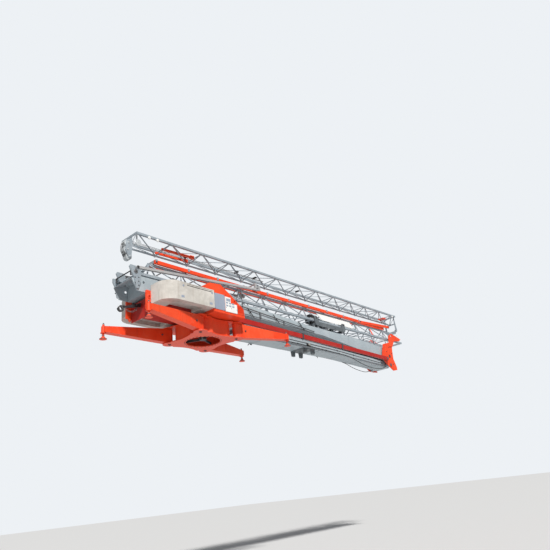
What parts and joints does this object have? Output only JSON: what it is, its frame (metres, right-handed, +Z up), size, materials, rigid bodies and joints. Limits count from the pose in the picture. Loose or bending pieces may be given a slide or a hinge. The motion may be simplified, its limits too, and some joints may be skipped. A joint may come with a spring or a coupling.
{
  "type": "tower crane",
  "caption": "Folded self-erecting tower crane: X base with swinging legs, slewing platform with ballast, folded box masts and a lattice jib folded on top.",
  "frame": {"origin": "on the ground under the foot pads, below the middle of the folded crane's length and width", "axes": "+X along the folded jib from the ballast end to the fold end, +Z up, Y across, with the near side at -Y"},
  "size_m": [15.9289, 2.5, 3.1421],
  "materials": {
    "orange_paint": "gloss enamel, dusty",
    "dark_red_paint": "semi-gloss enamel",
    "grey_paint": "satin paint",
    "galvanised": "hot-dip galvanised, dull",
    "concrete": "cast concrete",
    "dark_steel": "satin black paint",
    "white_panel": "satin white",
    "navy_paint": "gloss enamel"
  },
  "bodies": {
    "base": {"base_frame": "orange_paint", "leg_hinge_pins": "dark_steel", "slewing_ring_lower": "dark_steel"},
    "leg_front_near": {"leg_front_near": "orange_paint"},
    "leg_front_far": {"leg_front_far": "orange_paint"},
    "leg_rear_near": {"leg_rear_near": "orange_paint"},
    "leg_rear_far": {"leg_rear_far": "orange_paint"},
    "jack_front_near": {"jack_front_near": "orange_paint"},
    "jack_front_far": {"jack_front_far": "orange_paint"},
    "jack_rear_near": {"jack_rear_near": "orange_paint"},
    "jack_rear_far": {"jack_rear_far": "orange_paint"},
    "platform": {"slewing_ring_upper": "dark_steel", "platform_frame": "dark_red_paint", "mast_foot_cheeks": "orange_paint", "rear_posts": "orange_paint", "rear_hook": "dark_steel", "ballast_near": "concrete", "ballast_far": "concrete", "housing_near": "orange_paint", "housing_far": "orange_paint", "control_panel": "white_panel", "cover_panel": "grey_paint"},
    "lower_mast": {"lower_mast": "grey_paint", "axle_brackets": "dark_steel"},
    "struts": {"guide_struts": "dark_red_paint"},
    "knuckle": {"knuckle_plates": "orange_paint", "rest_levers": "orange_paint"},
    "upper_mast": {"upper_mast": "grey_paint", "mast_head_cheeks": "galvanised", "mast_rail": "dark_steel"},
    "jib_inner": {"jib_inner_lattice": "galvanised", "jib_inner_ends": "galvanised", "stay_bars": "orange_paint", "stay_clamps": "galvanised", "sign_board": "white_panel", "trolley_winch": "dark_steel"},
    "trolley": {"trolley": "orange_paint", "hook_block": "navy_paint"},
    "jib_outer": {"jib_outer_lattice": "galvanised", "jib_outer_ends": "galvanised", "jib_head_sheaves": "galvanised"},
    "king_post": {"king_post": "galvanised", "king_post_sheaves": "galvanised"}
  },
  "joints": [
    {"name": "leg_front_near_swing", "type": "hinge", "parent": "base", "child": "leg_front_near", "pos_m": [-4.14948, -0.74, 0.28], "axis": [0, 0, -1], "range_deg": [0, 35.2]},
    {"name": "jack_front_near_extend", "type": "slide", "parent": "leg_front_near", "child": "jack_front_near", "axis": [0, 0, -1], "range_m": [-0.04, 0.2]},
    {"name": "leg_front_far_swing", "type": "hinge", "parent": "base", "child": "leg_front_far", "pos_m": [-4.14948, 0.74, 0.28], "axis": [0, 0, 1], "range_deg": [0, 35.2]},
    {"name": "jack_front_far_extend", "type": "slide", "parent": "leg_front_far", "child": "jack_front_far", "axis": [0, 0, -1], "range_m": [-0.04, 0.2]},
    {"name": "leg_rear_far_swing", "type": "hinge", "parent": "base", "child": "leg_rear_far", "pos_m": [-5.62948, 0.74, 0.28], "axis": [0, 0, -1], "range_deg": [0, 35.2]},
    {"name": "jack_rear_far_extend", "type": "slide", "parent": "leg_rear_far", "child": "jack_rear_far", "axis": [0, 0, -1], "range_m": [-0.04, 0.2]},
    {"name": "leg_rear_near_swing", "type": "hinge", "parent": "base", "child": "leg_rear_near", "pos_m": [-5.62948, -0.74, 0.28], "axis": [0, 0, 1], "range_deg": [0, 35.2]},
    {"name": "jack_rear_near_extend", "type": "slide", "parent": "leg_rear_near", "child": "jack_rear_near", "axis": [0, 0, -1], "range_m": [-0.04, 0.2]},
    {"name": "slewing", "type": "hinge", "parent": "base", "child": "platform", "pos_m": [-4.88948, 0, 0.585], "axis": [0, 0, 1], "range_deg": [-5, 5]},
    {"name": "mast_raise", "type": "hinge", "parent": "platform", "child": "lower_mast", "pos_m": [-3.58948, 0, 0.54], "axis": [0, -1, 0], "range_deg": [0, 90]},
    {"name": "strut_follow", "type": "hinge", "parent": "platform", "child": "struts", "pos_m": [-3.98948, 0, 0.77], "axis": [0, -1, 0], "range_deg": [0, 90]},
    {"name": "knuckle_level", "type": "hinge", "parent": "lower_mast", "child": "knuckle", "pos_m": [6.06052, 0, 0.36], "axis": [0, 1, 0], "range_deg": [0, 90]},
    {"name": "upper_mast_unfold", "type": "hinge", "parent": "knuckle", "child": "upper_mast", "pos_m": [6.11052, 0, 0.78], "axis": [0, 1, 0], "range_deg": [0, 90]},
    {"name": "jib_raise", "type": "hinge", "parent": "upper_mast", "child": "jib_inner", "pos_m": [-7.70948, 0, 1.57], "axis": [0, -1, 0], "range_deg": [0, 90]},
    {"name": "jib_unfold", "type": "hinge", "parent": "jib_inner", "child": "jib_outer", "pos_m": [7.90448, 0, 2.40016], "axis": [0, 1, 0], "range_deg": [0, 180.35]},
    {"name": "king_post_raise", "type": "hinge", "parent": "jib_inner", "child": "king_post", "pos_m": [-7.59094, 0, 1.75594], "axis": [0, -1, 0], "range_deg": [0, 70.16]},
    {"name": "trolley_travel", "type": "slide", "parent": "jib_inner", "child": "trolley", "axis": [1, 0, 0.0079], "range_m": [-1.2, 4.5]}
  ],
  "couplings": [
    {"joint": "strut_follow", "follows": "mast_raise", "ratio": 1},
    {"joint": "knuckle_level", "follows": "mast_raise", "ratio": 1},
    {"joint": "upper_mast_unfold", "follows": "mast_raise", "ratio": 1},
    {"joint": "king_post_raise", "follows": "jib_unfold", "ratio": 0.389}
  ]
}
